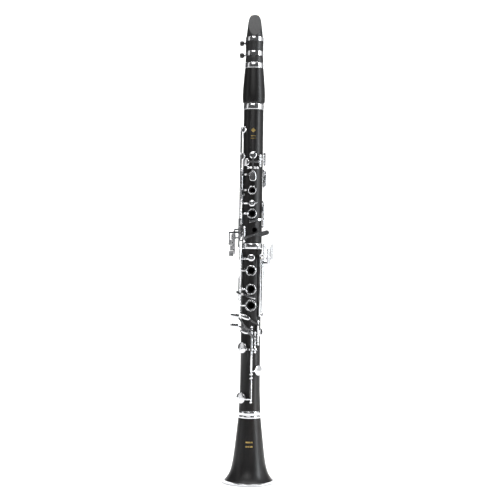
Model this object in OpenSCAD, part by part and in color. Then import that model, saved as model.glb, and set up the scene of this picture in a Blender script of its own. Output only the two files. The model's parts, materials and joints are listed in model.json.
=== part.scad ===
// Soprano clarinet with Boehm keywork, standing on its bell.
// Frame: +Z runs up the bore axis, the origin is the middle of the bell's mouth, and the
// tone holes face -Y. Azimuths are degrees round the bore from -Y, positive towards +X.

/* [Body] */
// Radius of the bore
bore_r = 7.35; // [7.2:0.05:7.5]
// Outside radius of the upper and lower joints
wood_r = 14.2; // [14:0.1:14.5]
// Radius of the bell's mouth
bell_mouth_r = 38.8; // [37:0.2:40]
// Height of the top of the bell
bell_top = 102; // [101:0.5:103]
// Height of the top of the lower joint
lower_top = 340; // [339.5:0.5:340.5]
// Height of the shoulder of the upper joint
upper_top = 530; // [529:0.5:531]
// Height of the top of the barrel
barrel_top = 597; // [595:0.5:599]
// Height of the tip of the mouthpiece
tip_z = 667; // [665:0.5:669]

/* [Keywork] */
// Distance of the hinge lines from the bore axis
hinge_r = 17.4; // [17.2:0.1:17.6]
// Radius of a key's hinge tube
tube_r = 1.45; // [1.35:0.05:1.5]
// Radius of a hinge rod
rod_r = 0.8; // [0.7:0.05:0.9]
// Radius of the ball at the head of a post
ball_r = 2.0; // [1.8:0.1:2.1]
// Width of a key's arm
arm_w = 2.6; // [2:0.1:3]
// Thickness of a key's arm
arm_t = 1.4; // [1.2:0.1:1.6]
// Angle by which the open keys stand up at rest
ring_lift = 4.5; // [3:0.5:5]

/* [Hidden] */
$fn = 48;
hull_fn = 24;
run_gap = 0.05;
side_ball_r = 1.7;
collar_ball_r = 2.4;
seat_r = wood_r + 0.4;
pad_gap = 0.15;
pad_t = 1.5;
cup_wall = 0.6;
dome_h = 1.1;
ring_t = 1.7;
ring_floor = wood_r + 1.4;
chimney_top = wood_r + 2.7;
post_stem_r = 1.25;
tenon_r = 10.9;
socket_r = 11.2;
cork_inner_r = 10.0;
cork_outer_r = 11.12;
tenon_len = 16.5;
bell_socket = 22;
side_pad_p = 3.8;
low_seat_r = 15.6;
ring_h = 8;
e_lift = 9;
f_lift = 7.5;
thumb_lift = 8;

// Hinge azimuths on the upper joint
az_stack = -62;
az_side = [-98, -86, -110, -122];
az_gs = 36;
az_sliver = 66;
az_cs = -39;
az_thumb = 150;
// Hinge azimuths on the lower joint
az_b = -84;
az_long = 5;
az_f = 21;
az_ab = 37;
az_left = [45, 61, 78];
// Heights of the levers' hinges that run across the body
throat_a_z = 446.5;
register_z = 470;
cross_r = 18.2;

// Side keys: height and azimuth of each pad, height of its arm, end of the arm, and its touch
side_pad_z = [501, 463, 437, 408];
side_pad_az = [-55, -61, -134, -146];
side_arm_z = [353.4, 346, 354, 358];
side_arm_end = [[-32.4, 1.5], [-27.6, -1.2], [-27, 9], [-25, 14.5]];
side_touch = [[-30.2, -0.5, 341], [-26.4, -1.2, 349], [-28, 6, 333], [-29.4, 9, 325]];

// Tone holes as [azimuth, height, radius of the hole, radius of the seat, radius of its top]
upper_holes = [
    [side_pad_az[0], side_pad_z[0], 2.6, 3.6, seat_r],
    [side_pad_az[1], side_pad_z[1], 2.6, 3.6, seat_r],
    [side_pad_az[2], side_pad_z[2], 2.6, 3.6, seat_r],
    [side_pad_az[3], side_pad_z[3], 2.6, 3.6, seat_r],
    [0, 464.6, 3.0, 4.0, seat_r],
    [-36, 454.6, 3.0, 4.0, seat_r],
    [-3, 437, 2.4, 3.2, seat_r],
    [0, 415, 3.2, 4.0, chimney_top],
    [0, 396.5, 2.6, 3.4, seat_r],
    [0, 382, 3.8, 4.7, chimney_top],
    [14, 359, 3.4, 4.4, wood_r + 0.1],
    [100, 389, 2.6, 3.4, seat_r],
    [-62, 352, 2.6, 3.4, seat_r]
];
lower_holes = [
    [0, 319.6, 3.2, 4.2, seat_r],
    [0, 301.5, 4.2, 5.1, chimney_top],
    [0, 275, 4.2, 5.1, chimney_top],
    [0, 252, 4.4, 5.4, chimney_top],
    [-110, 285, 3.4, 4.4, seat_r],
    [64, 213, 4.2, 5.2, seat_r],
    [-46, 192, 5.6, 6.6, seat_r],
    [47, 160, 5.2, 6.2, seat_r],
    [-46, 121, 5.6, 6.6, low_seat_r]
];

// Posts as [azimuth, height, radius of the ball]
upper_posts = [
    [az_stack, 444, ball_r], [az_stack, 401.5, ball_r], [az_stack, 368, ball_r],
    [az_side[0], 505.2, side_ball_r], [az_side[0], 351.2, side_ball_r],
    [az_side[1], 467.2, side_ball_r], [az_side[1], 343.8, side_ball_r],
    [az_side[2], 441.2, side_ball_r], [az_side[2], 351.8, side_ball_r],
    [az_side[3], 412.2, side_ball_r], [az_side[3], 355.8, side_ball_r],
    [az_gs, 449.8, ball_r], [az_gs, 463.6, ball_r],
    [az_sliver, 398.6, ball_r], [az_sliver, 363.4, ball_r],
    [az_cs, 362.2, ball_r], [az_cs, 342.6, ball_r],
    [az_thumb, 438.6, ball_r], [az_thumb, 409.4, ball_r]
];
lower_posts = [
    [az_stack, 327.5, ball_r], [az_stack, 241, ball_r],
    [az_b, 293, side_ball_r], [az_b, 259, side_ball_r],
    [az_long, 115.4, ball_r], [az_long, 149.6, collar_ball_r], [az_long, 155.2, collar_ball_r], [az_long, 221.6, ball_r],
    [az_f, 186.4, ball_r], [az_f, 213.6, ball_r],
    [az_ab, 197.4, ball_r], [az_ab, 229.6, ball_r],
    [az_left[0], 322.6, ball_r], [az_left[0], 238, ball_r],
    [az_left[1], 316.6, ball_r], [az_left[1], 243.4, ball_r],
    [az_left[2], 322.6, ball_r], [az_left[2], 238, ball_r]
];

// Rods as [azimuth, lower end, upper end]; the long low key brings its own axle
upper_rods = [
    [az_stack, 366.5, 445.5],
    [az_side[0], 349.9, 506.5], [az_side[1], 342.5, 468.5],
    [az_side[2], 350.5, 442.5], [az_side[3], 354.5, 413.5],
    [az_gs, 448.2, 465.2], [az_sliver, 361.8, 400.2], [az_cs, 341, 363.8], [az_thumb, 407.8, 440.2]
];
lower_rods = [
    [az_stack, 239.4, 329], [az_b, 257.6, 294.4], [az_f, 184.8, 215.2], [az_ab, 195.8, 231.2],
    [az_left[0], 236.4, 324.2], [az_left[1], 241.8, 318.2], [az_left[2], 236.4, 324.2]
];

// Azimuth from a pad's middle at which an arm meets the rim of its cup
function rim_az(p) = asin((p + 0.35) / hinge_r);
function bell_outer(z) = 15.9 + 0.108 * (94 - z) + (bell_mouth_r - 26.05) * exp(-z / 9.5);
function bell_inner(z) = bell_outer(z) - 3.2 - 2.4 * z / 80;
function barrel_outer(t) = 14.5 - 1.1 * t + 1.9 * sin(180 * sqrt(t));

// ---- Placing ----
// Puts children on the wall: +Z outward, +Y up the instrument, from radius r
module on_wall(az, z, r) {
    rotate([0, 0, az])
        translate([0, -r, z])
            rotate([90, 0, 0])
                children();
}

// Turns children about the hinge line at an azimuth
module about_hinge(az, turn) {
    rotate([0, 0, az])
        translate([0, -hinge_r, 0])
            rotate([0, 0, turn])
                translate([0, hinge_r, 0])
                    rotate([0, 0, -az])
                        children();
}

// Band that follows the wall between two azimuths
module band(z, az0, az1, r, w = arm_w, t = arm_t) {
    translate([0, 0, z])
        rotate([0, 0, az0 - 90])
            rotate_extrude(angle = az1 - az0)
                translate([r, 0])
                    square([t, w], center = true);
}

// Upright bar at an azimuth, from radius r0 to r1
module upright(az, r0, r1, z0, z1, w = arm_w) {
    rotate([0, 0, az])
        translate([-w / 2, -r1, z0])
            cube([w, r1 - r0, z1 - z0]);
}

module line_cylinder(az, z0, z1, r) {
    rotate([0, 0, az])
        translate([0, -hinge_r, z0])
            cylinder(r = r, h = z1 - z0);
}

// ---- Keywork pieces ----
// Key on a hinge tube, bored for its rod
module tube_key(az, z0, z1) {
    difference() {
        union() {
            line_cylinder(az, z0, z1, tube_r);
            children();
        }
        line_cylinder(az, z0 - 5, z1 + 5, rod_r + run_gap);
    }
}

// Domed cup over a pad of radius p
module cup(az, z, p, seat = seat_r) {
    rim = p + cup_wall;
    lip = pad_gap + 0.7;
    top = pad_gap + pad_t + run_gap;
    on_wall(az, z, seat)
        rotate_extrude()
            polygon(concat(
                [[0, top], [p + run_gap, top], [p + run_gap, lip], [rim, lip]],
                [for (a = [0:22.5:90]) [rim * cos(a), top + dome_h * sin(a)]]));
}

module pad(az, z, p, seat = seat_r) {
    color("Wheat")
        on_wall(az, z, seat + pad_gap)
            cylinder(r = p, h = pad_t);
}

// Open ring that a fingertip closes
module finger_ring(az, z, inner, outer) {
    bevel = 0.4;
    on_wall(az, z, ring_floor)
        rotate_extrude()
            polygon([[inner, 0], [outer - bevel, 0], [outer, bevel], [outer, ring_t - bevel],
                [outer - bevel, ring_t], [inner + bevel, ring_t], [inner, ring_t - bevel]]);
}

// Rounded plate of length l and width w lying on the wall, its long side turned by tilt
module spatula(az, z, r, l, w, tilt = 0, t = 1.6) {
    on_wall(az, z, r)
        rotate([0, 0, tilt])
            hull()
                for (s = [-1, 1])
                    translate([s * (l - w) / 2, 0, 0])
                        cylinder(d = w, h = t, $fn = hull_fn);
}

// Ball-headed post whose ball is drilled along local X; +Z points out of the wood
module turned_post(ball, height) {
    seam = 20;
    difference() {
        union() {
            rotate([0, 0, seam])
                cylinder(r = post_stem_r, h = height - rod_r - 0.2);
            translate([0, 0, height])
                rotate([0, 0, seam])
                    sphere(r = ball);
        }
        translate([-5, 0, height])
            rotate([0, 90, 0])
                cylinder(r = rod_r + run_gap, h = 10);
    }
}

module post(az, z, ball) {
    on_wall(az, z, wood_r + 0.02)
        rotate([0, 0, 90])
            turned_post(ball, hinge_r - wood_r - 0.02);
}

// One of the posts of a lever that rocks across the body
module cross_post(az, z, x) {
    foot = 13.3;
    rotate([0, 0, az])
        translate([x, -foot, z])
            rotate([90, 0, 0])
                turned_post(ball_r - 0.1, cross_r - foot);
}

module cross_rod(az, z) {
    rotate([0, 0, az])
        translate([-7.8, -cross_r, z])
            rotate([0, 90, 0])
                cylinder(r = rod_r, h = 15.6);
}

module cross_key(az, z) {
    difference() {
        union() {
            rotate([0, 0, az])
                translate([-4.3, -cross_r, z])
                    rotate([0, 90, 0])
                        cylinder(r = tube_r, h = 8.6);
            children();
        }
        rotate([0, 0, az])
            translate([-10, -cross_r, z])
                rotate([0, 90, 0])
                    cylinder(r = rod_r + run_gap, h = 20);
    }
}

// ---- Wooden body ----
module bell() {
    color("#222224")
        rotate_extrude()
            polygon(concat(
                [for (z = [3.2, 5, 7, 10, 14, 19, 25, 32, 42, 56, 74, 91.6]) [bell_outer(z), z]],
                [[14.4, 91.6], [14.4, bell_top - 0.5], [socket_r + 0.4, bell_top - 0.5],
                    [socket_r + 0.4, bell_top - bell_socket]],
                [for (z = [80, 66, 50, 36, 26, 18, 12, 8, 5, 3.2]) [bell_inner(z), z]]));
}

module bell_rim_ring() {
    color("Silver")
        rotate_extrude()
            polygon([[bell_inner(3.2), 3.2], [bell_inner(0), 0], [bell_mouth_r - 0.6, 0],
                [bell_mouth_r, 0.7], [bell_mouth_r, 2.2], [bell_outer(3.2), 3.2]]);
}

module tone_seats(holes) {
    for (h = holes)
        on_wall(h[0], h[1], 10)
            cylinder(r = h[3], h = h[4] - 10);
}

module tone_bores(holes) {
    for (h = holes)
        on_wall(h[0], h[1], 0)
            cylinder(r = h[2], h = 25);
}

module lower_joint() {
    color("#222224")
        difference() {
            union() {
                rotate_extrude()
                    polygon([[0, bell_top - 21], [tenon_r + 0.3, bell_top - 21],
                        [tenon_r + 0.3, bell_top - 18], [cork_inner_r + 0.4, bell_top - 18],
                        [cork_inner_r + 0.4, bell_top - 5], [tenon_r + 0.3, bell_top - 5],
                        [tenon_r + 0.3, bell_top], [15.8, bell_top], [15.4, bell_top + 6],
                        [14.5, bell_top + 26], [wood_r, bell_top + 46], [wood_r, lower_top - 16],
                        [14.9, lower_top - 9], [14.5, lower_top - ring_h],
                        [14.5, lower_top - 0.4], [0, lower_top - 0.4]]);
                tone_seats(lower_holes);
            }
            translate([0, 0, bell_top - 30])
                cylinder(r = bore_r, h = lower_top);
            translate([0, 0, lower_top - tenon_len - 0.5])
                cylinder(r = socket_r, h = tenon_len + 1);
            tone_bores(lower_holes);
        }
}

module upper_joint() {
    color("#222224")
        difference() {
            union() {
                rotate_extrude()
                    polygon([[0, lower_top - tenon_len], [tenon_r, lower_top - tenon_len],
                        [tenon_r, lower_top - 13.5], [cork_inner_r, lower_top - 13.5],
                        [cork_inner_r, lower_top - 3.5], [tenon_r, lower_top - 3.5],
                        [tenon_r, lower_top], [wood_r, lower_top], [wood_r, upper_top],
                        [tenon_r, upper_top], [tenon_r, upper_top + 3.5],
                        [cork_inner_r, upper_top + 3.5], [cork_inner_r, upper_top + 13.5],
                        [tenon_r, upper_top + 13.5], [tenon_r, upper_top + tenon_len],
                        [0, upper_top + tenon_len]]);
                tone_seats(upper_holes);
            }
            translate([0, 0, lower_top - 20])
                cylinder(r = bore_r, h = 230);
            tone_bores(upper_holes);
            on_wall(180, 424, 0)
                cylinder(r = 4.7, h = 25);
            on_wall(180, 505, 0)
                cylinder(r = 3.0, h = 25);
        }
}

// Metal ring with a rounded bead, from z up
module socket_ring(z, h, inner, outer) {
    translate([0, 0, z])
        rotate_extrude()
            polygon([[inner, 0], [outer - 0.4, 0], [outer, 0.8], [outer, h - 0.8],
                [outer - 0.4, h], [inner, h]]);
}

module socket_rings() {
    color("Silver") {
        socket_ring(lower_top - ring_h, ring_h - 0.2, 14.52, 15.6);
        socket_ring(bell_top - 6, 5.8, 14.42, 16.1);
        socket_ring(bell_top - 10.3, 3.4, 14.42, 16.2);
    }
}

module cork(z, h, inner, outer) {
    translate([0, 0, z])
        difference() {
            cylinder(r = outer, h = h);
            translate([0, 0, -1])
                cylinder(r = inner, h = h + 2);
        }
}

module tenon_corks() {
    color("BurlyWood") {
        cork(upper_top + 3.6, 9.8, cork_inner_r + 0.02, cork_outer_r);
        cork(lower_top - 13.4, 9.8, cork_inner_r + 0.02, cork_outer_r);
        cork(bell_top - 17.9, 12.8, cork_inner_r + 0.42, cork_outer_r + 0.4);
    }
}

module barrel() {
    z0 = upper_top;
    span = barrel_top - 8 - (z0 + 8.6);
    color("#222224")
        difference() {
            rotate_extrude()
                polygon(concat(
                    [[bore_r + 0.1, z0 + 0.2], [13.2, z0 + 0.2], [13.2, z0 + 8.6]],
                    [for (t = [0, 0.05, 0.13, 0.24, 0.38, 0.55, 0.75, 1])
                        [barrel_outer(t), z0 + 8.6 + span * t]],
                    [[12.4, barrel_top - 8], [12.4, barrel_top - 0.3],
                        [bore_r + 0.1, barrel_top - 0.3]]));
            translate([0, 0, z0 - 1])
                cylinder(r = socket_r, h = tenon_len + 5);
            translate([0, 0, barrel_top - 17])
                cylinder(r = socket_r - 0.4, h = 20);
        }
}

module barrel_rings() {
    color("Silver") {
        socket_ring(upper_top + 0.1, 8.4, 13.22, 14.8);
        socket_ring(barrel_top - 7.9, 7.7, 12.42, 13.5);
    }
}

// ---- Mouthpiece ----
module mouthpiece() {
    body_end = barrel_top + 10;
    table_y = 7.6;
    color("#1a1a1c")
        difference() {
            rotate_extrude()
                polygon([[0, barrel_top - 16.5], [tenon_r - 0.4, barrel_top - 16.5],
                    [tenon_r - 0.4, barrel_top - 14], [cork_inner_r - 0.4, barrel_top - 14],
                    [cork_inner_r - 0.4, barrel_top - 3], [tenon_r - 0.4, barrel_top - 3],
                    [tenon_r - 0.4, barrel_top], [12.9, barrel_top], [12.8, barrel_top + 7],
                    [12.1, body_end], [12.0, 634], [10.9, 643], [9.4, 655], [8.2, 661],
                    [6.6, tip_z - 2], [4.2, tip_z], [0, tip_z]]);
            translate([-20, table_y, body_end - 1])
                cube([40, 20, 80]);
            translate([0, -12.6, 634])
                rotate([-27.5, 0, 0])
                    translate([-20, -40, 0])
                        cube([40, 40, 60]);
            translate([0, 0, barrel_top - 20])
                cylinder(r = bore_r, h = 50);
            translate([-5.5, 1.6, 622])
                cube([11, 20, 34]);
        }
}

module mouthpiece_cork() {
    color("BurlyWood")
        cork(barrel_top - 13.9, 10.8, cork_inner_r - 0.38, cork_outer_r - 0.4);
}

module reed() {
    color("#d9c08a")
        intersection() {
            translate([-6.3, 7.65, 0])
                rotate([90, 0, 90])
                    linear_extrude(height = 12.6)
                        polygon([[0, barrel_top + 9.2], [2.7, barrel_top + 9.2],
                            [2.8, 634], [1.4, 645], [0.25, tip_z - 0.5], [0, tip_z - 0.5]]);
            translate([0, -0.5, 600])
                cylinder(r = 11.6, h = 70);
        }
}

screw_z = [627, 609.6];
module ligature() {
    color("Silver")
        difference() {
            union() {
                for (strap = [[627.4, 5.6], [606.6, 6.4]])
                    translate([0, 0, strap[0]])
                        cylinder(r = 13.1, h = strap[1]);
                for (az = [-108, 78])
                    band(619, az, az + 30, 12.7, 20, 0.6);
                for (z = screw_z)
                    for (x = [-1, 1])
                        translate([x * 4 - 1.6, 10.5, z - 3])
                            cube([3.2, 7.2, 6]);
            }
            translate([0, 0, 600])
                cylinder(r = 12.35, h = 40);
            for (z = screw_z)
                translate([-20, 15.3, z])
                    rotate([0, 90, 0])
                        cylinder(r = 1.25, h = 40);
            translate([-1.2, 11, 600])
                cube([2.4, 8, 40]);
        }
}

module ligature_screw(z) {
    color("#222224")
        translate([-21, 15.3, z])
            rotate([0, 90, 0]) {
                cylinder(r1 = 2.6, r2 = 3.8, h = 1.2);
                translate([0, 0, 1.2])
                    cylinder(r = 3.8, h = 3.6);
                translate([0, 0, 4.8])
                    cylinder(r1 = 3.8, r2 = 2, h = 1.6);
                cylinder(r = 1.2, h = 28);
            }
}

module ligature_screw_upper() { ligature_screw(screw_z[0]); }
module ligature_screw_lower() { ligature_screw(screw_z[1]); }

// ---- Fixed metalwork ----
module key_posts() {
    color("Gainsboro") {
        for (p = upper_posts)
            post(p[0], p[1], p[2]);
        for (p = lower_posts)
            post(p[0], p[1], p[2]);
        for (x = [-6.4, 6.4]) {
            cross_post(0, throat_a_z, x);
            cross_post(180, register_z, x);
        }
    }
}

module hinge_rods() {
    color("Silver") {
        for (h = upper_rods)
            line_cylinder(h[0], h[1], h[2], rod_r);
        for (h = lower_rods)
            line_cylinder(h[0], h[1], h[2], rod_r);
        cross_rod(0, throat_a_z);
        cross_rod(180, register_z);
    }
}

// Needle springs lie between the tubes and the wood, fixed in the posts' stems
module key_springs() {
    springs = [[az_stack, 444, -1], [az_stack, 401.5, 1], [az_stack, 368, 1],
        [az_side[0], 505.2, -1], [az_side[1], 467.2, -1], [az_side[2], 441.2, -1],
        [az_side[3], 412.2, -1], [az_sliver, 398.6, -1], [az_stack, 327.5, -1],
        [az_b, 293, -1], [az_long, 149.6, -1], [az_f, 213.6, -1], [az_ab, 229.6, -1],
        [az_left[0], 322.6, -1], [az_left[1], 316.6, -1], [az_left[2], 322.6, -1]];
    spring_len = 14;
    color("SteelBlue")
        for (s = springs)
            rotate([0, 0, s[0]])
                translate([0, -wood_r - 0.75, s[1] + s[2] * (post_stem_r + 0.1)
                    - (s[2] < 0 ? spring_len : 0)])
                    cylinder(r = 0.25, h = spring_len, $fn = 16);
}

module thumb_tube() {
    color("Silver")
        on_wall(180, 424, bore_r + 0.6)
            difference() {
                cylinder(r = 4.6, h = chimney_top - bore_r - 0.6);
                translate([0, 0, -1])
                    cylinder(r = 3.6, h = 20);
            }
}

module register_tube() {
    color("Silver")
        on_wall(180, 505, bore_r - 3)
            difference() {
                union() {
                    cylinder(r = 2.2, h = 10);
                    translate([0, 0, 3.6])
                        cylinder(r = 2.95, h = seat_r - bore_r - 0.6);
                }
                translate([0, 0, -1])
                    cylinder(r = 1.5, h = 20);
            }
}

// Plain gilt marks: a lozenge over two bars, and the same two bars on the bell
module emblems() {
    skin = 0.12;
    color("Gold") {
        intersection() {
            difference() {
                translate([0, 0, 490])
                    cylinder(r = wood_r + 0.02 + skin, h = 20);
                translate([0, 0, 489])
                    cylinder(r = wood_r + 0.02, h = 22);
            }
            on_wall(0, 500, 5)
                rotate([0, 0, 45])
                    translate([-2.4, -2.4, 0])
                        cube([4.8, 4.8, 20]);
        }
        for (z = [492, 488.6])
            band(z, -14, 14, wood_r + 0.02 + skin / 2, 1.2, skin);
        for (z = [52, 58])
            rotate([0, 0, -14 - 90])
                rotate_extrude(angle = 28)
                    polygon([[bell_outer(z) + 0.3, z], [bell_outer(z) + 0.3 + skin, z],
                        [bell_outer(z + 2) + 0.3 + skin, z + 2], [bell_outer(z + 2) + 0.3, z + 2]]);
    }
}

// ---- Thumb rest ----
rest_z = 285;
module thumb_rest_plate() {
    color("Gainsboro")
        difference() {
            union() {
                band(rest_z, 160, 200, wood_r + 0.6, 34, 1.1);
                translate([-4, wood_r + 0.6, rest_z - 14])
                    cube([8, 1.7, 28]);
            }
            cylinder(r = wood_r + 0.05, h = 400);
        }
}

rest_y = wood_r + 1.45;
clamp_y = rest_y + 1.7;
module thumb_rest() {
    color("Silver")
        difference() {
            union() {
                translate([-6.5, rest_y, rest_z - 7])
                    cube([13, 3.2, 14]);
                translate([-6.5, rest_y + 3.2, rest_z - 7])
                    cube([13, 14.5, 2.4]);
                translate([-6.5, 32.5, rest_z - 8])
                    cube([13, 2.2, 3.4]);
                translate([0, wood_r + 8, rest_z + 7])
                    rotate([90, 0, 0])
                        cylinder(r = 5.2, h = 2.2);
                translate([-2.5, rest_y + 3.2, rest_z + 1])
                    cube([5, 3.4, 2]);
            }
            translate([-4.15, rest_y - 1, rest_z - 20])
                cube([8.3, 2, 40]);
            translate([0, 40, rest_z + 7])
                rotate([90, 0, 0])
                    cylinder(r = 3.4, h = 25);
            translate([4.2, clamp_y, rest_z])
                rotate([0, 90, 0])
                    cylinder(r = 1.05, h = 5);
        }
}

module thumb_rest_screw() {
    color("Silver")
        translate([4.3, clamp_y, rest_z])
            rotate([0, 90, 0]) {
                cylinder(r = 1, h = 3);
                translate([0, 0, 2.4])
                    cylinder(r = 2.4, h = 2.4);
            }
}

// ---- Upper joint keys ----
module register_key() {
    color("Gainsboro")
        cross_key(180, register_z) {
            upright(180, cross_r - 0.4, cross_r + 1.8, 440, 506, 3.2);
            upright(180, seat_r + 2.2, cross_r, 501.5, 506, 3.2);
            cup(180, 505, 3.4);
            band(444, 112, 181.5, cross_r + 0.7, 4, 2.2);
            spatula(115, 432.5, 17.6, 26, 7, 90, 2.2);
        }
}

module register_pad() { pad(180, 505, 3.4); }

module thumb_ring_key() {
    color("Gainsboro")
        about_hinge(az_thumb, -thumb_lift)
            tube_key(az_thumb, 411.6, 436.4) {
                band(424, az_thumb, 158, hinge_r - 0.4);
                finger_ring(180, 424, 5.3, 7.0);
            }
}

module throat_a_key() {
    stem_r = 20.4;
    color("Gainsboro")
        cross_key(0, throat_a_z) {
            cup(0, 464.6, 4.4);
            upright(0, stem_r, stem_r + arm_t, 443, 464.6);
            upright(0, seat_r + 2.4, stem_r + arm_t, 461.4, 464.6);
            upright(0, cross_r + 0.8, stem_r + arm_t, throat_a_z - 1.2, throat_a_z + 1.2);
            on_wall(0, 432.2, stem_r + 0.6)
                hull() {
                    cylinder(r = 4.4, h = 1.5, $fn = hull_fn);
                    translate([0, 11.4, 0])
                        cylinder(r = 1.2, h = 1.5, $fn = hull_fn);
                }
        }
}

module throat_a_pad() { pad(0, 464.6, 4.4); }

module throat_g_sharp_key() {
    color("Gainsboro")
        tube_key(az_gs, 452, 461.4) {
            cup(-36, 454.6, 4.6);
            band(455, -36 + rim_az(4.6), az_gs, hinge_r);
            band(459, az_gs, 68, hinge_r + 0.3);
            spatula(66, 459.5, hinge_r - 0.4, 19, 5, 90);
        }
}

module throat_g_sharp_pad() { pad(-36, 454.6, 4.6); }

// Side key: tube, arm and cup near the top, and a touch that stands out beside the joint
module side_key(i) {
    az = az_side[i];
    pad_az = side_pad_az[i];
    foot = side_arm_z[i];
    end = side_arm_end[i];
    touch = side_touch[i];
    hinge = [hinge_r * sin(az), -hinge_r * cos(az)];
    reach = end - hinge;
    edge = rim_az(side_pad_p);
    color("Gainsboro")
        tube_key(az, foot, side_pad_z[i] + 2) {
            cup(pad_az, side_pad_z[i], side_pad_p);
            band(side_pad_z[i], az < pad_az ? az : pad_az + edge,
                az < pad_az ? pad_az - edge : az, hinge_r);
            translate([hinge[0], hinge[1], foot + 0.4])
                rotate([0, 0, atan2(reach[1], reach[0])])
                    translate([0, -0.8, 0])
                        cube([norm(reach), 1.6, 2.6]);
            translate([end[0], end[1], touch[2] - 1])
                cylinder(r = 1.1, h = foot + 3.6 - touch[2]);
            translate([touch[0], touch[1], touch[2] - 3.8])
                rotate([0, 0, -42])
                    translate([-3.6, -0.9, 0])
                        cube([7.2, 1.8, 7.6]);
            translate([end[0], end[1], touch[2] - 1])
                rotate([0, 0, atan2(touch[1] - end[1], touch[0] - end[0])])
                    translate([0, -0.8, 0])
                        cube([norm([touch[0] - end[0], touch[1] - end[1]]), 1.6, 2.4]);
        }
}

module side_key_1() { side_key(0); }
module side_key_2() { side_key(1); }
module side_key_3() { side_key(2); }
module side_key_4() { side_key(3); }
module side_pad_1() { pad(side_pad_az[0], side_pad_z[0], side_pad_p); }
module side_pad_2() { pad(side_pad_az[1], side_pad_z[1], side_pad_p); }
module side_pad_3() { pad(side_pad_az[2], side_pad_z[2], side_pad_p); }
module side_pad_4() { pad(side_pad_az[3], side_pad_z[3], side_pad_p); }

module first_ring_key() {
    color("Gainsboro")
        about_hinge(az_stack, -ring_lift)
            tube_key(az_stack, 403.8, 441.6) {
                band(415, az_stack, -15, hinge_r - 0.3);
                finger_ring(0, 415, 4.5, 5.9);
                band(408.6, az_stack, -40, hinge_r - 0.3);
                band(437, az_stack, -3 - rim_az(3.4), hinge_r);
                cup(-3, 437, 3.4);
            }
}

module first_ring_pad() {
    about_hinge(az_stack, -ring_lift)
        pad(-3, 437, 3.4);
}

module second_ring_key() {
    color("Gainsboro")
        about_hinge(az_stack, -ring_lift)
            tube_key(az_stack, 370.4, 399.2) {
                band(382, az_stack, -17, hinge_r - 0.3);
                finger_ring(0, 382, 5.2, 6.9);
                band(396.5, az_stack, -rim_az(3.8), hinge_r);
                cup(0, 396.5, 3.8);
                upright(21, ring_floor + 0.2, ring_floor + ring_t, 385, 397, 1.8);
                band(396.5, rim_az(3.8), 24, ring_floor + ring_t - arm_t / 2);
                upright(az_stack, hinge_r, 21.6, 372, 375);
                upright(az_stack, 20.2, 21.6, 334, 375);
            }
}

module second_ring_pad() {
    about_hinge(az_stack, -ring_lift)
        pad(0, 396.5, 3.8);
}

module sliver_key() {
    color("Gainsboro")
        tube_key(az_sliver, 365.8, 396.2) {
            cup(100, 389, 3.8);
            band(389, az_sliver, 100 - rim_az(3.8), hinge_r);
            translate([0, 0, 371])
                rotate([0, -14, 0])
                    band(0, -12, az_sliver, hinge_r + 1.0, 2.8);
        }
}

module sliver_pad() { pad(100, 389, 3.8); }

module c_sharp_key() {
    color("Gainsboro")
        tube_key(az_cs, 345, 359.8) {
            cup(-62, 352, 3.8);
            band(352, -62 + rim_az(3.8), az_cs, hinge_r);
            translate([-9.5, -18.6, 346.4])
                rotate([0, -17, 0])
                    cube([31, 1.6, 3]);
            translate([-11.4, -18, 345])
                cube([4, 4.4, 4]);
            translate([16.4, -17.8, 354])
                rotate([90, 0, 0])
                    rotate([0, 0, 17])
                        hull()
                            for (s = [-1, 1])
                                translate([s * 4.6, 0, 0])
                                    cylinder(r = 3.4, h = 1.7, $fn = hull_fn);
        }
}

module c_sharp_pad() { pad(-62, 352, 3.8); }

// ---- Lower joint keys ----
module lower_ring_key() {
    color("Gainsboro")
        about_hinge(az_stack, -ring_lift)
            tube_key(az_stack, 243.4, 325) {
                    band(301.5, az_stack, -21, hinge_r - 0.3);
                    finger_ring(0, 301.5, 5.8, 7.5);
                    band(275, az_stack, -21, hinge_r - 0.3);
                    finger_ring(0, 275, 5.8, 7.5);
                    band(252, az_stack, -22, hinge_r - 0.3);
                    finger_ring(0, 252, 6.1, 8.0);
                    band(318, az_stack, -rim_az(4.4) + 0.4, hinge_r);
                    cup(0, 319.6, 4.4);
                    band(318, -62, -52, 20.6, 3);
                    upright(az_stack, hinge_r, 21, 316.5, 319.5);
                    upright(-52.5, 19.9, 21.3, 316.5, 338.5, 2.2);
            }
}

module lower_ring_pad() {
    about_hinge(az_stack, -ring_lift)
        pad(0, 319.6, 4.4);
}

module banana_key() {
    color("Gainsboro")
        tube_key(az_b, 261, 291) {
            cup(-110, 285, 4.6);
            band(285, -110 + rim_az(4.6), az_b, hinge_r);
            upright(az_b, hinge_r, 21.9, 268, 272);
            translate([0, 0, 264])
                rotate([0, 17, 0])
                    band(0, az_b, 16, 21.6, 2.8);
        }
}

module banana_pad() { pad(-110, 285, 4.6); }

// Touch for the right little finger: a plate whose back is at y, and a bar to the key's hinge
module low_touch(x, y, z, slope, hinge_az, hinge_z, l = 13, w = 6) {
    hx = hinge_r * sin(hinge_az);
    hy = hinge_r * cos(hinge_az);
    bar_r = 1.3;
    translate([hx - 1.1, y - arm_t + 0.3, hinge_z - 1.1])
        cube([2.2, arm_t + 0.1 - y - hy, 2.2]);
    hull() {
        translate([x + l / 2 - 3, y, z - slope * (l / 2 - 3)])
            rotate([90, 0, 0])
                cylinder(r = bar_r, h = arm_t, $fn = hull_fn);
        translate([hx, y, hinge_z])
            rotate([90, 0, 0])
                cylinder(r = bar_r, h = arm_t, $fn = hull_fn);
    }
    hull()
        for (s = [-1, 1])
            translate([x + s * (l - w) / 2, y, z - slope * s * (l - w) / 2])
                rotate([90, 0, 0])
                    cylinder(d = w, h = arm_t + 0.2, $fn = hull_fn);
}

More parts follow.
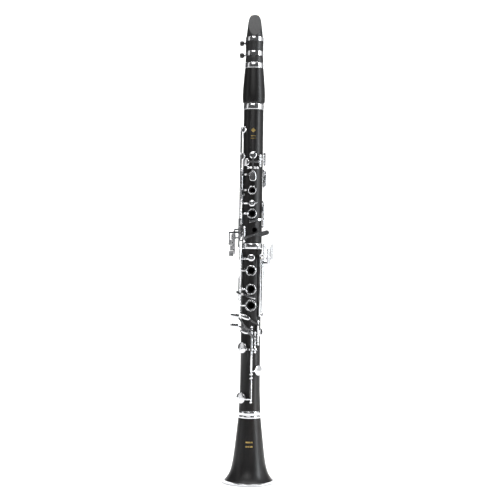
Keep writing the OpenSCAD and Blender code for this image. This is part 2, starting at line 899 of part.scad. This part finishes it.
// The long low key turns with its axle, which also carries the tube of the key above it
module low_e_key() {
    color("Gainsboro")
        about_hinge(az_long, e_lift) {
            line_cylinder(az_long, 113.6, 223.4, rod_r);
            line_cylinder(az_long, 118, 146.8, tube_r);
            line_cylinder(az_long, 214.8, 219.2, tube_r);
            cup(-46, 121, 7.0, low_seat_r);
            band(120, -24, az_long, 18.9);
            low_touch(-23.6, -18.4, 224, 0.12, az_long, 217);
        }
}

module low_e_pad() {
    about_hinge(az_long, e_lift)
        pad(-46, 121, 7.0, low_seat_r);
}

module low_f_sharp_key() {
    color("Gainsboro")
        tube_key(az_long, 158, 214.4) {
            cup(47, 160, 6.6);
            band(159.6, az_long, 47 - rim_az(6.6), hinge_r);
            low_touch(-22.6, -16.2, 238, 0.15, az_long, 208.6);
        }
}

module low_f_sharp_pad() { pad(47, 160, 6.6); }

module low_f_key() {
    color("Gainsboro")
        about_hinge(az_f, f_lift)
            tube_key(az_f, 188.8, 211.2) {
                cup(-46, 192, 7.0);
                band(190.4, -46, az_f, hinge_r + 2.8);
                upright(az_f, hinge_r, 20.9, 189, 191.8);
                upright(-42, 16.6, 20.9, 189, 191.8);
                low_touch(-9.5, -19.5, 215.5, 0.3, az_f, 208);
            }
}

module low_f_pad() {
    about_hinge(az_f, f_lift)
        pad(-46, 192, 7.0);
}

module a_flat_key() {
    color("Gainsboro")
        tube_key(az_ab, 199.8, 227.2) {
            cup(64, 213, 5.6);
            band(213, az_ab, 64 - rim_az(5.6), hinge_r);
            low_touch(-8, -19.5, 235.6, 0.35, az_ab, 225);
        }
}

// Levers for the left little finger, linked to the low keys
module left_lever(i, z0, z1, touch_x, touch_y, touch_z) {
    az = az_left[i];
    hx = hinge_r * sin(az);
    hy = -hinge_r * cos(az);
    turn = atan2(touch_y - hy, touch_x - hx);
    reach = norm([touch_x - hx, touch_y - hy]);
    color("Gainsboro")
        tube_key(az, z0, z1) {
            translate([hx, hy, z1 - 3])
                rotate([0, 0, turn])
                    translate([0, -0.8, 0])
                        cube([reach, 1.6, 3]);
            translate([touch_x, touch_y, touch_z])
                rotate([0, 0, 40])
                    rotate([90, 0, 0])
                        hull()
                            for (s = [-1, 1])
                                translate([0, s * 9, 0])
                                    cylinder(r = 2.6, h = 1.6, $fn = hull_fn);
        }
}

module left_e_lever() { left_lever(0, 240.4, 320.2, 17.5, -16.5, 328); }
module left_f_sharp_lever() { left_lever(1, 245.8, 314.2, 23.5, -11, 322); }
module left_f_lever() { left_lever(2, 240.4, 320.2, 28, -4, 328); }

bell();
bell_rim_ring();
lower_joint();
upper_joint();
socket_rings();
tenon_corks();
key_posts();
hinge_rods();
key_springs();
thumb_tube();
register_tube();
emblems();
barrel();
barrel_rings();
mouthpiece();
mouthpiece_cork();
reed();
ligature();
ligature_screw_upper();
ligature_screw_lower();
thumb_rest_plate();
thumb_rest();
thumb_rest_screw();
register_key();
register_pad();
thumb_ring_key();
throat_a_key();
throat_a_pad();
throat_g_sharp_key();
throat_g_sharp_pad();
side_key_1();
side_key_2();
side_key_3();
side_key_4();
side_pad_1();
side_pad_2();
side_pad_3();
side_pad_4();
first_ring_key();
first_ring_pad();
second_ring_key();
second_ring_pad();
sliver_key();
sliver_pad();
c_sharp_key();
c_sharp_pad();
lower_ring_key();
lower_ring_pad();
banana_key();
banana_pad();
low_e_key();
low_e_pad();
low_f_key();
low_f_pad();
low_f_sharp_key();
low_f_sharp_pad();
a_flat_key();
left_e_lever();
left_f_sharp_lever();
left_f_lever();
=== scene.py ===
import json
import math

import bpy
import numpy as np
from mathutils import Matrix, Vector


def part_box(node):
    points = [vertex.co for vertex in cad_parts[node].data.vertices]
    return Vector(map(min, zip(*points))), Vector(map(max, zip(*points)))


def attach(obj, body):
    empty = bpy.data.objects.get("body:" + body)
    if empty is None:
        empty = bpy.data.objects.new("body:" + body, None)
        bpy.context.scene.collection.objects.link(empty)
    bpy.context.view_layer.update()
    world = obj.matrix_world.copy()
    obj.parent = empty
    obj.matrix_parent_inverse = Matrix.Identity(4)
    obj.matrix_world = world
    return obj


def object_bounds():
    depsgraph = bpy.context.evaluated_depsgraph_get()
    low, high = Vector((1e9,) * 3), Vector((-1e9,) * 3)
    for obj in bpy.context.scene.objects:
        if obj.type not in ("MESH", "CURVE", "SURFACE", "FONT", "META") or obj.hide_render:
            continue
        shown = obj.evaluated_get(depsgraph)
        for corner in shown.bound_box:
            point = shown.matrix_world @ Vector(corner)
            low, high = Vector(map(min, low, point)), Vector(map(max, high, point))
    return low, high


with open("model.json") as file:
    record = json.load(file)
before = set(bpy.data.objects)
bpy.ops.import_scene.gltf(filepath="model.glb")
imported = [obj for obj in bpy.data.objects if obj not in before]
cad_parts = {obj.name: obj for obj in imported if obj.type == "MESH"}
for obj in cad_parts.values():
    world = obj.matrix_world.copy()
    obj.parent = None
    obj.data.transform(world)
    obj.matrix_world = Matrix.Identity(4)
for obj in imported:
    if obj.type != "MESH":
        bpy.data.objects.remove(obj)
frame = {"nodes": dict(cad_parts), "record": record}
cad_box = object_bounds()
nodes = frame["nodes"]
MM = 0.001

# ---- Materials ----

# Sockets of a colour Mix node, whose names are shared by its other data types
MIX_BELOW, MIX_ABOVE, MIX_RESULT = 6, 7, 2


class Shader:
    """A Principled material with short helpers for its node tree."""

    def __init__(self, name):
        self.material = bpy.data.materials.new(name)
        self.material.use_nodes = True
        self.tree = self.material.node_tree
        self.surface = self.tree.nodes["Principled BSDF"]
        self.coords = self.node("ShaderNodeTexCoord").outputs["Object"]

    def node(self, kind, **settings):
        made = self.tree.nodes.new(kind)
        for key, value in settings.items():
            setattr(made, key, value)
        return made

    def join(self, source, target):
        self.tree.links.new(source, target)

    def constants(self, **values):
        for key, value in values.items():
            self.surface.inputs[key.replace("_", " ")].default_value = value

    def stretched(self, scale):
        mapping = self.node("ShaderNodeMapping")
        mapping.inputs["Scale"].default_value = scale
        self.join(self.coords, mapping.inputs["Vector"])
        return mapping.outputs["Vector"]

    def noise(self, scale, detail=4.0, roughness=0.55, stretch=(1, 1, 1)):
        texture = self.node("ShaderNodeTexNoise")
        texture.inputs["Scale"].default_value = scale
        texture.inputs["Detail"].default_value = detail
        texture.inputs["Roughness"].default_value = roughness
        self.join(self.stretched(stretch), texture.inputs["Vector"])
        return texture.outputs["Fac"]

    def ramp(self, source, stops):
        """Colour ramp: stops are (position, colour)."""
        ramp = self.node("ShaderNodeValToRGB")
        points = ramp.color_ramp.elements
        while len(points) < len(stops):
            points.new(0.5)
        for point, (position, colour) in zip(points, stops):
            point.position = position
            point.color = (*colour, 1)
        self.join(source, ramp.inputs["Fac"])
        return ramp.outputs["Color"]

    def levels(self, source, low, high, start=0.3, end=0.7):
        """Maps start..end of source to low..high."""
        span = self.node("ShaderNodeMapRange")
        span.inputs["From Min"].default_value = start
        span.inputs["From Max"].default_value = end
        span.inputs["To Min"].default_value = low
        span.inputs["To Max"].default_value = high
        self.join(source, span.inputs["Value"])
        return span.outputs["Result"]

    def blend(self, factor, below, above):
        mix = self.node("ShaderNodeMix", data_type="RGBA")
        self.join(factor, mix.inputs["Factor"])
        self.join(below, mix.inputs[MIX_BELOW])
        self.join(above, mix.inputs[MIX_ABOVE])
        return mix.outputs[MIX_RESULT]

    def bump(self, *layers):
        """Bump from (height source, depth in metres) layers."""
        normal = None
        for source, depth in layers:
            bump = self.node("ShaderNodeBump")
            bump.inputs["Strength"].default_value = 1.0
            bump.inputs["Distance"].default_value = depth
            self.join(source, bump.inputs["Height"])
            if normal:
                self.join(normal, bump.inputs["Normal"])
            normal = bump.outputs["Normal"]
        self.join(normal, self.surface.inputs["Normal"])

    def edges(self, low=0.5, high=0.56):
        """1 along convex edges, 0 on flats and in hollows."""
        geometry = self.node("ShaderNodeNewGeometry")
        return self.levels(geometry.outputs["Pointiness"], 0, 1, low, high)

    def colour(self, source):
        self.join(source, self.surface.inputs["Base Color"])

    def roughness(self, source):
        self.join(source, self.surface.inputs["Roughness"])


def scaled(colour, factor):
    """Colour made lighter or darker, held at 1."""
    return tuple(min(1, c * factor) for c in colour)


def grenadilla(name, tint):
    """Oiled black wood: fine upright pores, brown streaks and a soft satin polish."""
    s = Shader(name)
    grain = s.noise(260, 6, 0.6, (1, 1, 0.035))
    streaks = s.noise(45, 3, 0.5, (1, 1, 0.06))
    dark = scaled(tint, 0.55)
    brown = (tint[0] * 2.1, tint[1] * 1.45, tint[2] * 1.15)
    fibres = s.ramp(grain, [(0.36, dark), (0.6, tint)])
    warm = s.ramp(streaks, [(0.45, dark), (0.72, brown)])
    s.colour(s.blend(s.levels(streaks, 0, 0.6, 0.5, 0.72), fibres, warm))
    s.roughness(s.levels(grain, 0.4, 0.3))
    pores = s.levels(s.noise(900, 2, 0.5, (1, 1, 0.02)), 0, 1, 0.32, 0.45)
    s.bump((pores, 0.00004), (grain, 0.00003))
    s.constants(Specular_IOR_Level=0.34)
    return s.material


def plated(name, colour, tarnish, polish):
    """Plated metal: polished, with wiped marks, patches of faint tarnish and bright worn edges."""
    s = Shader(name)
    marks = s.noise(160, 5, 0.65)
    wiped = s.noise(700, 3, 0.5, (1, 1, 0.15))
    base = s.ramp(marks, [(0.3, tarnish), (0.55, colour)])
    bright = s.ramp(marks, [(0.0, scaled(colour, 1.06)), (1.0, scaled(colour, 1.03))])
    s.colour(s.blend(s.edges(), base, bright))
    s.roughness(s.levels(marks, polish * 1.7, polish * 0.8))
    s.bump((wiped, 0.000006), (marks, 0.00001))
    s.constants(Metallic=1.0)
    return s.material


def drawn_steel(name):
    """Blued spring and rod steel, drawn lengthwise, with fine lines along it."""
    s = Shader(name)
    lines = s.noise(1500, 2, 0.5, (1, 1, 0.02))
    s.colour(s.ramp(lines, [(0.3, (0.28, 0.33, 0.42)), (0.7, (0.5, 0.55, 0.62))]))
    s.roughness(s.levels(lines, 0.34, 0.2))
    s.bump((lines, 0.000008))
    s.constants(Metallic=1.0)
    return s.material


def cork(name):
    """Cork sheet: pale ground with dark lenticels and an open grain."""
    s = Shader(name)
    ground = s.noise(420, 5, 0.6)
    specks = s.noise(1300, 3, 0.6)
    base = s.ramp(ground, [(0.35, (0.42, 0.27, 0.15)), (0.65, (0.66, 0.47, 0.29))])
    flecks = s.ramp(specks, [(0.4, (0.16, 0.09, 0.05)), (0.5, (0.62, 0.45, 0.28))])
    s.colour(s.blend(s.levels(specks, 0.75, 0, 0.36, 0.46), base, flecks))
    s.bump((specks, 0.00012), (ground, 0.00008))
    s.constants(Roughness=0.85)
    return s.material


def pad_skin(name):
    """Fish skin over felt: cream, a little creased, faintly glossy."""
    s = Shader(name)
    creases = s.noise(900, 6, 0.7)
    s.colour(s.ramp(creases, [(0.35, (0.62, 0.5, 0.33)), (0.65, (0.86, 0.78, 0.6))]))
    s.roughness(s.levels(creases, 0.5, 0.36))
    s.bump((creases, 0.00005))
    s.constants(Subsurface_Weight=0.05)
    return s.material


def ebonite(name, tone, polish):
    """Hard black rubber: turned, with very fine rings and a dusting of handling marks. Also used
    for the screw heads, whose near-black is partly dark knurling and partly painted shade.
    """
    s = Shader(name)
    dust = s.noise(340, 5, 0.65)
    turning = s.noise(500, 2, 0.5, (0.05, 0.05, 4))
    s.colour(s.ramp(dust, [(0.3, scaled(tone, 0.7)), (0.7, scaled(tone, 1.25))]))
    s.roughness(s.levels(dust, polish * 1.2, polish * 0.85))
    s.bump((turning, 0.000012), (dust, 0.00001))
    s.constants(Specular_IOR_Level=0.5)
    return s.material


def cane(name):
    """Reed cane: straw with long brown fibres."""
    s = Shader(name)
    fibres = s.noise(900, 4, 0.6, (1, 1, 0.02))
    patches = s.noise(120, 3, 0.5)
    base = s.ramp(fibres, [(0.35, (0.5, 0.34, 0.13)), (0.6, (0.8, 0.63, 0.34))])
    aged = s.ramp(fibres, [(0.3, (0.38, 0.22, 0.08)), (0.7, (0.66, 0.46, 0.22))])
    s.colour(s.blend(s.levels(patches, 0, 0.7, 0.5, 0.7), base, aged))
    s.bump((fibres, 0.00005))
    s.constants(Roughness=0.52)
    return s.material


materials = {
    "wood": grenadilla("grenadilla", (0.0085, 0.008, 0.0082)),
    "silver": plated("silver_plate", (0.74, 0.745, 0.76), (0.5, 0.5, 0.51), 0.13),
    "steel": drawn_steel("spring_steel"),
    "gilt": plated("gilt", (0.83, 0.6, 0.22), (0.55, 0.36, 0.12), 0.24),
    "cork": cork("cork_sheet"),
    "pad": pad_skin("pad_skin"),
    "ebonite": ebonite("hard_rubber", (0.014, 0.0142, 0.015), 0.42),
    "cane": cane("reed_cane"),
    # screw heads: a darker, glossier black than the mouthpiece, partly dark knurling and partly
    # painted shade
    "knob": ebonite("screw_head_knurl_and_painted_shade", (0.006, 0.006, 0.0065), 0.24),
}

# ---- CAD nodes: materials and softened edges ----

EDGE_WIDTH = {"silver": 0.15 * MM, "knob": 0.3 * MM, "wood": 0.35 * MM, "ebonite": 0.5 * MM}
EDGE_SEGMENTS = 3
SHARP_FROM = math.radians(35)
KEPT_CRISP = ("emblems", "hinge_rods")


def weld(piece, gap):
    """Joins vertices that lie closer together than gap."""
    piece.modifiers.new("weld", "WELD").merge_threshold = gap


def soften(piece, width):
    """Rounds a machined piece's edges with a small bevel."""
    weld(piece, 0.002 * MM)
    bevel = piece.modifiers.new("edges", "BEVEL")
    bevel.width = width
    bevel.segments = EDGE_SEGMENTS
    bevel.limit_method = "ANGLE"
    bevel.angle_limit = SHARP_FROM
    bevel.use_clamp_overlap = True


for part in frame["record"]["subparts"]:
    node, slot = part["node"], part["material_slot"]
    piece = nodes[node]
    piece.data.materials.clear()
    piece.data.materials.append(materials[slot])
    if slot in EDGE_WIDTH and node not in KEPT_CRISP:
        soften(piece, EDGE_WIDTH[slot])

# ---- Finger touches ----

TOUCH_LENGTH = 12.8 * MM     # from the touch's outer end to where its arm starts
TOUCH_BAND = 16 * MM         # height of the band that holds a touch and no other part of its key
LOW_F_LENGTH = 14.65 * MM    # the same two for the low F touch, which lies near its own arm
LOW_F_BAND = 9 * MM
TEARDROP_HEIGHT = 16 * MM    # the throat A touch, up from its low end
CAP_RINGS, CAP_AROUND = 22, 28
CAP_LIFT = 0.05 * MM         # keeps a cap's underside just inside the plate's
END_BLUNT, SIDE_BLUNT, DOME_BLUNT = 0.62, 0.8, 0.6   # 1 is an ellipse, less is squarer

body_of = {node: body for body, held in frame["record"]["behaviour"]["bodies"].items()
           for node in held}


def shade_smooth(mesh):
    """Shades all of a mesh's faces smooth."""
    for face in mesh.polygons:
        face.use_smooth = True


def plate_frame(node, low, high):
    """Centre, axes (long, wide, thin) and half sizes of the part of a node between two corners."""
    piece = nodes[node]
    points = np.array([piece.matrix_world @ v.co for v in piece.data.vertices])
    inside = ((points >= low) & (points <= high)).all(axis=1)
    points = points[inside]
    middle = points.mean(axis=0)
    _, axes = np.linalg.eigh(np.cov((points - middle).T))
    axes = axes[:, ::-1].T
    spread = (points - middle) @ axes.T
    centre = middle + (spread.max(axis=0) + spread.min(axis=0)) / 2 @ axes
    return centre, axes, np.ptp(spread, axis=0) / 2


def touch_cap(node, low, high, swell=0.3 * MM, edge=0.1 * MM, taper=0.0):
    """Silver cap over the part of a key between two corners, which is its flat touch.

    It is domed outside like a forged touch and ends just inside the plate's underside. It stands
    twice swell past the plate's face and edge past its rim. taper widens its low end by that share
    and narrows its high end by as much.
    """
    centre, axes, half = plate_frame(node, np.array(low), np.array(high))
    if axes[0][2] > 0:
        axes[0] = -axes[0]
    if np.linalg.det(axes) < 0:
        axes[1] = -axes[1]
    outward = axes[2] * math.copysign(1, axes[2] @ (centre * (1, 1, 0)))
    centre = centre + outward * (swell + CAP_LIFT)
    length, width, depth = half + np.array([edge, edge, swell])
    points = []
    for i in range(CAP_RINGS + 1):
        turn = math.pi * (i / CAP_RINGS - 0.5)
        along, girth = math.sin(turn), max(math.cos(turn), 0.0) ** END_BLUNT
        for j in range(CAP_AROUND):
            angle = 2 * math.pi * j / CAP_AROUND
            across = math.copysign(abs(math.cos(angle)) ** SIDE_BLUNT, math.cos(angle)) * girth
            points.append(centre + axes[0] * length * along
                          + axes[1] * width * across * (1 + taper * along)
                          + axes[2] * depth * math.sin(angle) * girth ** DOME_BLUNT)
    faces = []
    for start in range(0, CAP_RINGS * CAP_AROUND, CAP_AROUND):
        for j in range(CAP_AROUND):
            k = (j + 1) % CAP_AROUND
            faces.append((start + j, start + k, start + CAP_AROUND + k, start + CAP_AROUND + j))
    mesh = bpy.data.meshes.new(node + "_touch")
    mesh.from_pydata([tuple(point) for point in points], [], faces)
    mesh.validate()
    shade_smooth(mesh)
    mesh.materials.append(materials["silver"])
    cap = bpy.data.objects.new(node + "_touch", mesh)
    weld(cap, 0.001 * MM)
    bpy.context.scene.collection.objects.link(cap)
    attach(cap, body_of[node])


def corners(node):
    """Lowest and highest corners of a node at rest, as arrays."""
    return (np.array(corner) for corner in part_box(node))


for node in ("low_e_key", "low_f_sharp_key", "a_flat_key"):
    low, high = corners(node)
    touch_cap(node, (*low[:2], high[2] - TOUCH_BAND), (low[0] + TOUCH_LENGTH, *high[1:]))
low, high = corners("low_f_key")
touch_cap("low_f_key", (*low[:2], high[2] - LOW_F_BAND), (low[0] + LOW_F_LENGTH, *high[1:]),
          swell=0.15 * MM, edge=-0.4 * MM)
low, high = corners("throat_a_key")
touch_cap("throat_a_key", low, (*high[:2], low[2] + TEARDROP_HEIGHT), taper=0.3)

# ---- Stage, light and camera ----


def sweep_floor():
    """Pale floor that curves up behind the object."""
    turn_y, turn_r, half, height, steps = 1.2, 0.8, 1.3, 2.4, 24
    below = 0.2 * MM
    profile = [(-half, 0.0), (turn_y, 0.0)]
    for i in range(1, steps + 1):
        angle = math.pi / 2 * i / steps
        profile.append((turn_y + turn_r * math.sin(angle), turn_r * (1 - math.cos(angle))))
    profile.append((turn_y + turn_r, height))
    points = [(x, y, z - below) for y, z in profile for x in (-half, half)]
    faces = [(2 * i, 2 * i + 1, 2 * i + 3, 2 * i + 2) for i in range(len(profile) - 1)]
    mesh = bpy.data.meshes.new("floor")
    mesh.from_pydata(points, [], faces)
    shade_smooth(mesh)
    floor = bpy.data.objects.new("floor", mesh)
    bpy.context.scene.collection.objects.link(floor)
    s = Shader("paper")
    fibres = s.noise(60, 4, 0.6)
    s.colour(s.ramp(fibres, [(0.3, (0.86, 0.86, 0.86)), (0.7, (0.9, 0.9, 0.9))]))
    s.constants(Roughness=0.9)
    mesh.materials.append(s.material)


def area_light(name, place, target, size, power, colour=(1, 1, 1)):
    """Rectangular softbox at place, turned to target; power is in watts."""
    light = bpy.data.lights.new(name, "AREA")
    light.shape = "RECTANGLE"
    light.size, light.size_y = size
    light.energy = power
    light.color = colour
    lamp = bpy.data.objects.new(name, light)
    lamp.location = place
    lamp.rotation_euler = (Vector(target) - Vector(place)).to_track_quat("-Z", "Y").to_euler()
    bpy.context.scene.collection.objects.link(lamp)


def world_light(seen, cast):
    """White room behind the object; only a dim part of it lights and reflects."""
    world = bpy.data.worlds.new("studio")
    world.use_nodes = True
    tree = world.node_tree
    background = tree.nodes["Background"]
    background.inputs["Color"].default_value = (0.97, 0.98, 1.0, 1)
    rays = tree.nodes.new("ShaderNodeLightPath")
    level = tree.nodes.new("ShaderNodeMapRange")
    level.inputs["To Min"].default_value = cast
    level.inputs["To Max"].default_value = seen
    tree.links.new(rays.outputs["Is Camera Ray"], level.inputs["Value"])
    tree.links.new(level.outputs["Result"], background.inputs["Strength"])
    bpy.context.scene.world = world


def camera(height):
    """Level view from the front at a height, a little left of the bore and rolled a little."""
    distance, side, roll = 1.8, -2.5 * MM, math.radians(0.8)
    data = bpy.data.cameras.new("camera")
    data.sensor_fit = "VERTICAL"
    data.angle_y = math.radians(22.4)
    seen_from = bpy.data.objects.new("camera", data)
    c, s = math.cos(roll), math.sin(roll)
    turn = Matrix(((c, -s, 0), (0, 0, -1), (s, c, 0))).to_4x4()
    seen_from.matrix_world = Matrix.Translation((side, -distance, height)) @ turn
    bpy.context.scene.collection.objects.link(seen_from)
    bpy.context.scene.camera = seen_from
    bpy.context.scene.view_settings.view_transform = "Standard"


BODY_MIDDLE = (0, 0, 0.35)
COOL_WHITE = (0.93, 0.97, 1.0)

sweep_floor()
area_light("key_strip", (1.5, -0.67, 0.5), BODY_MIDDLE, (0.4, 2.0), 29, COOL_WHITE)
area_light("right_box", (1.75, 0.1, 0.6), BODY_MIDDLE, (1.5, 2.2), 8)
area_light("left_box", (-1.7, -0.5, 0.6), BODY_MIDDLE, (0.6, 2.2), 4)
area_light("front_soft", (-0.4, -2.0, 1.7), (0, 0, 0.3), (1.4, 0.8), 16)
area_light("top_soft", (0.0, 0.2, 2.5), (0, 0.2, 0), (2.0, 2.0), 60)
area_light("back_wash", (0, 0.5, 2.4), (0, 2.0, 0.5), (2.4, 0.8), 60)
world_light(seen=1.0, cast=0.09)
middle_z = (cad_box[0][2] + cad_box[1][2]) / 2
camera(middle_z - 3 * MM)
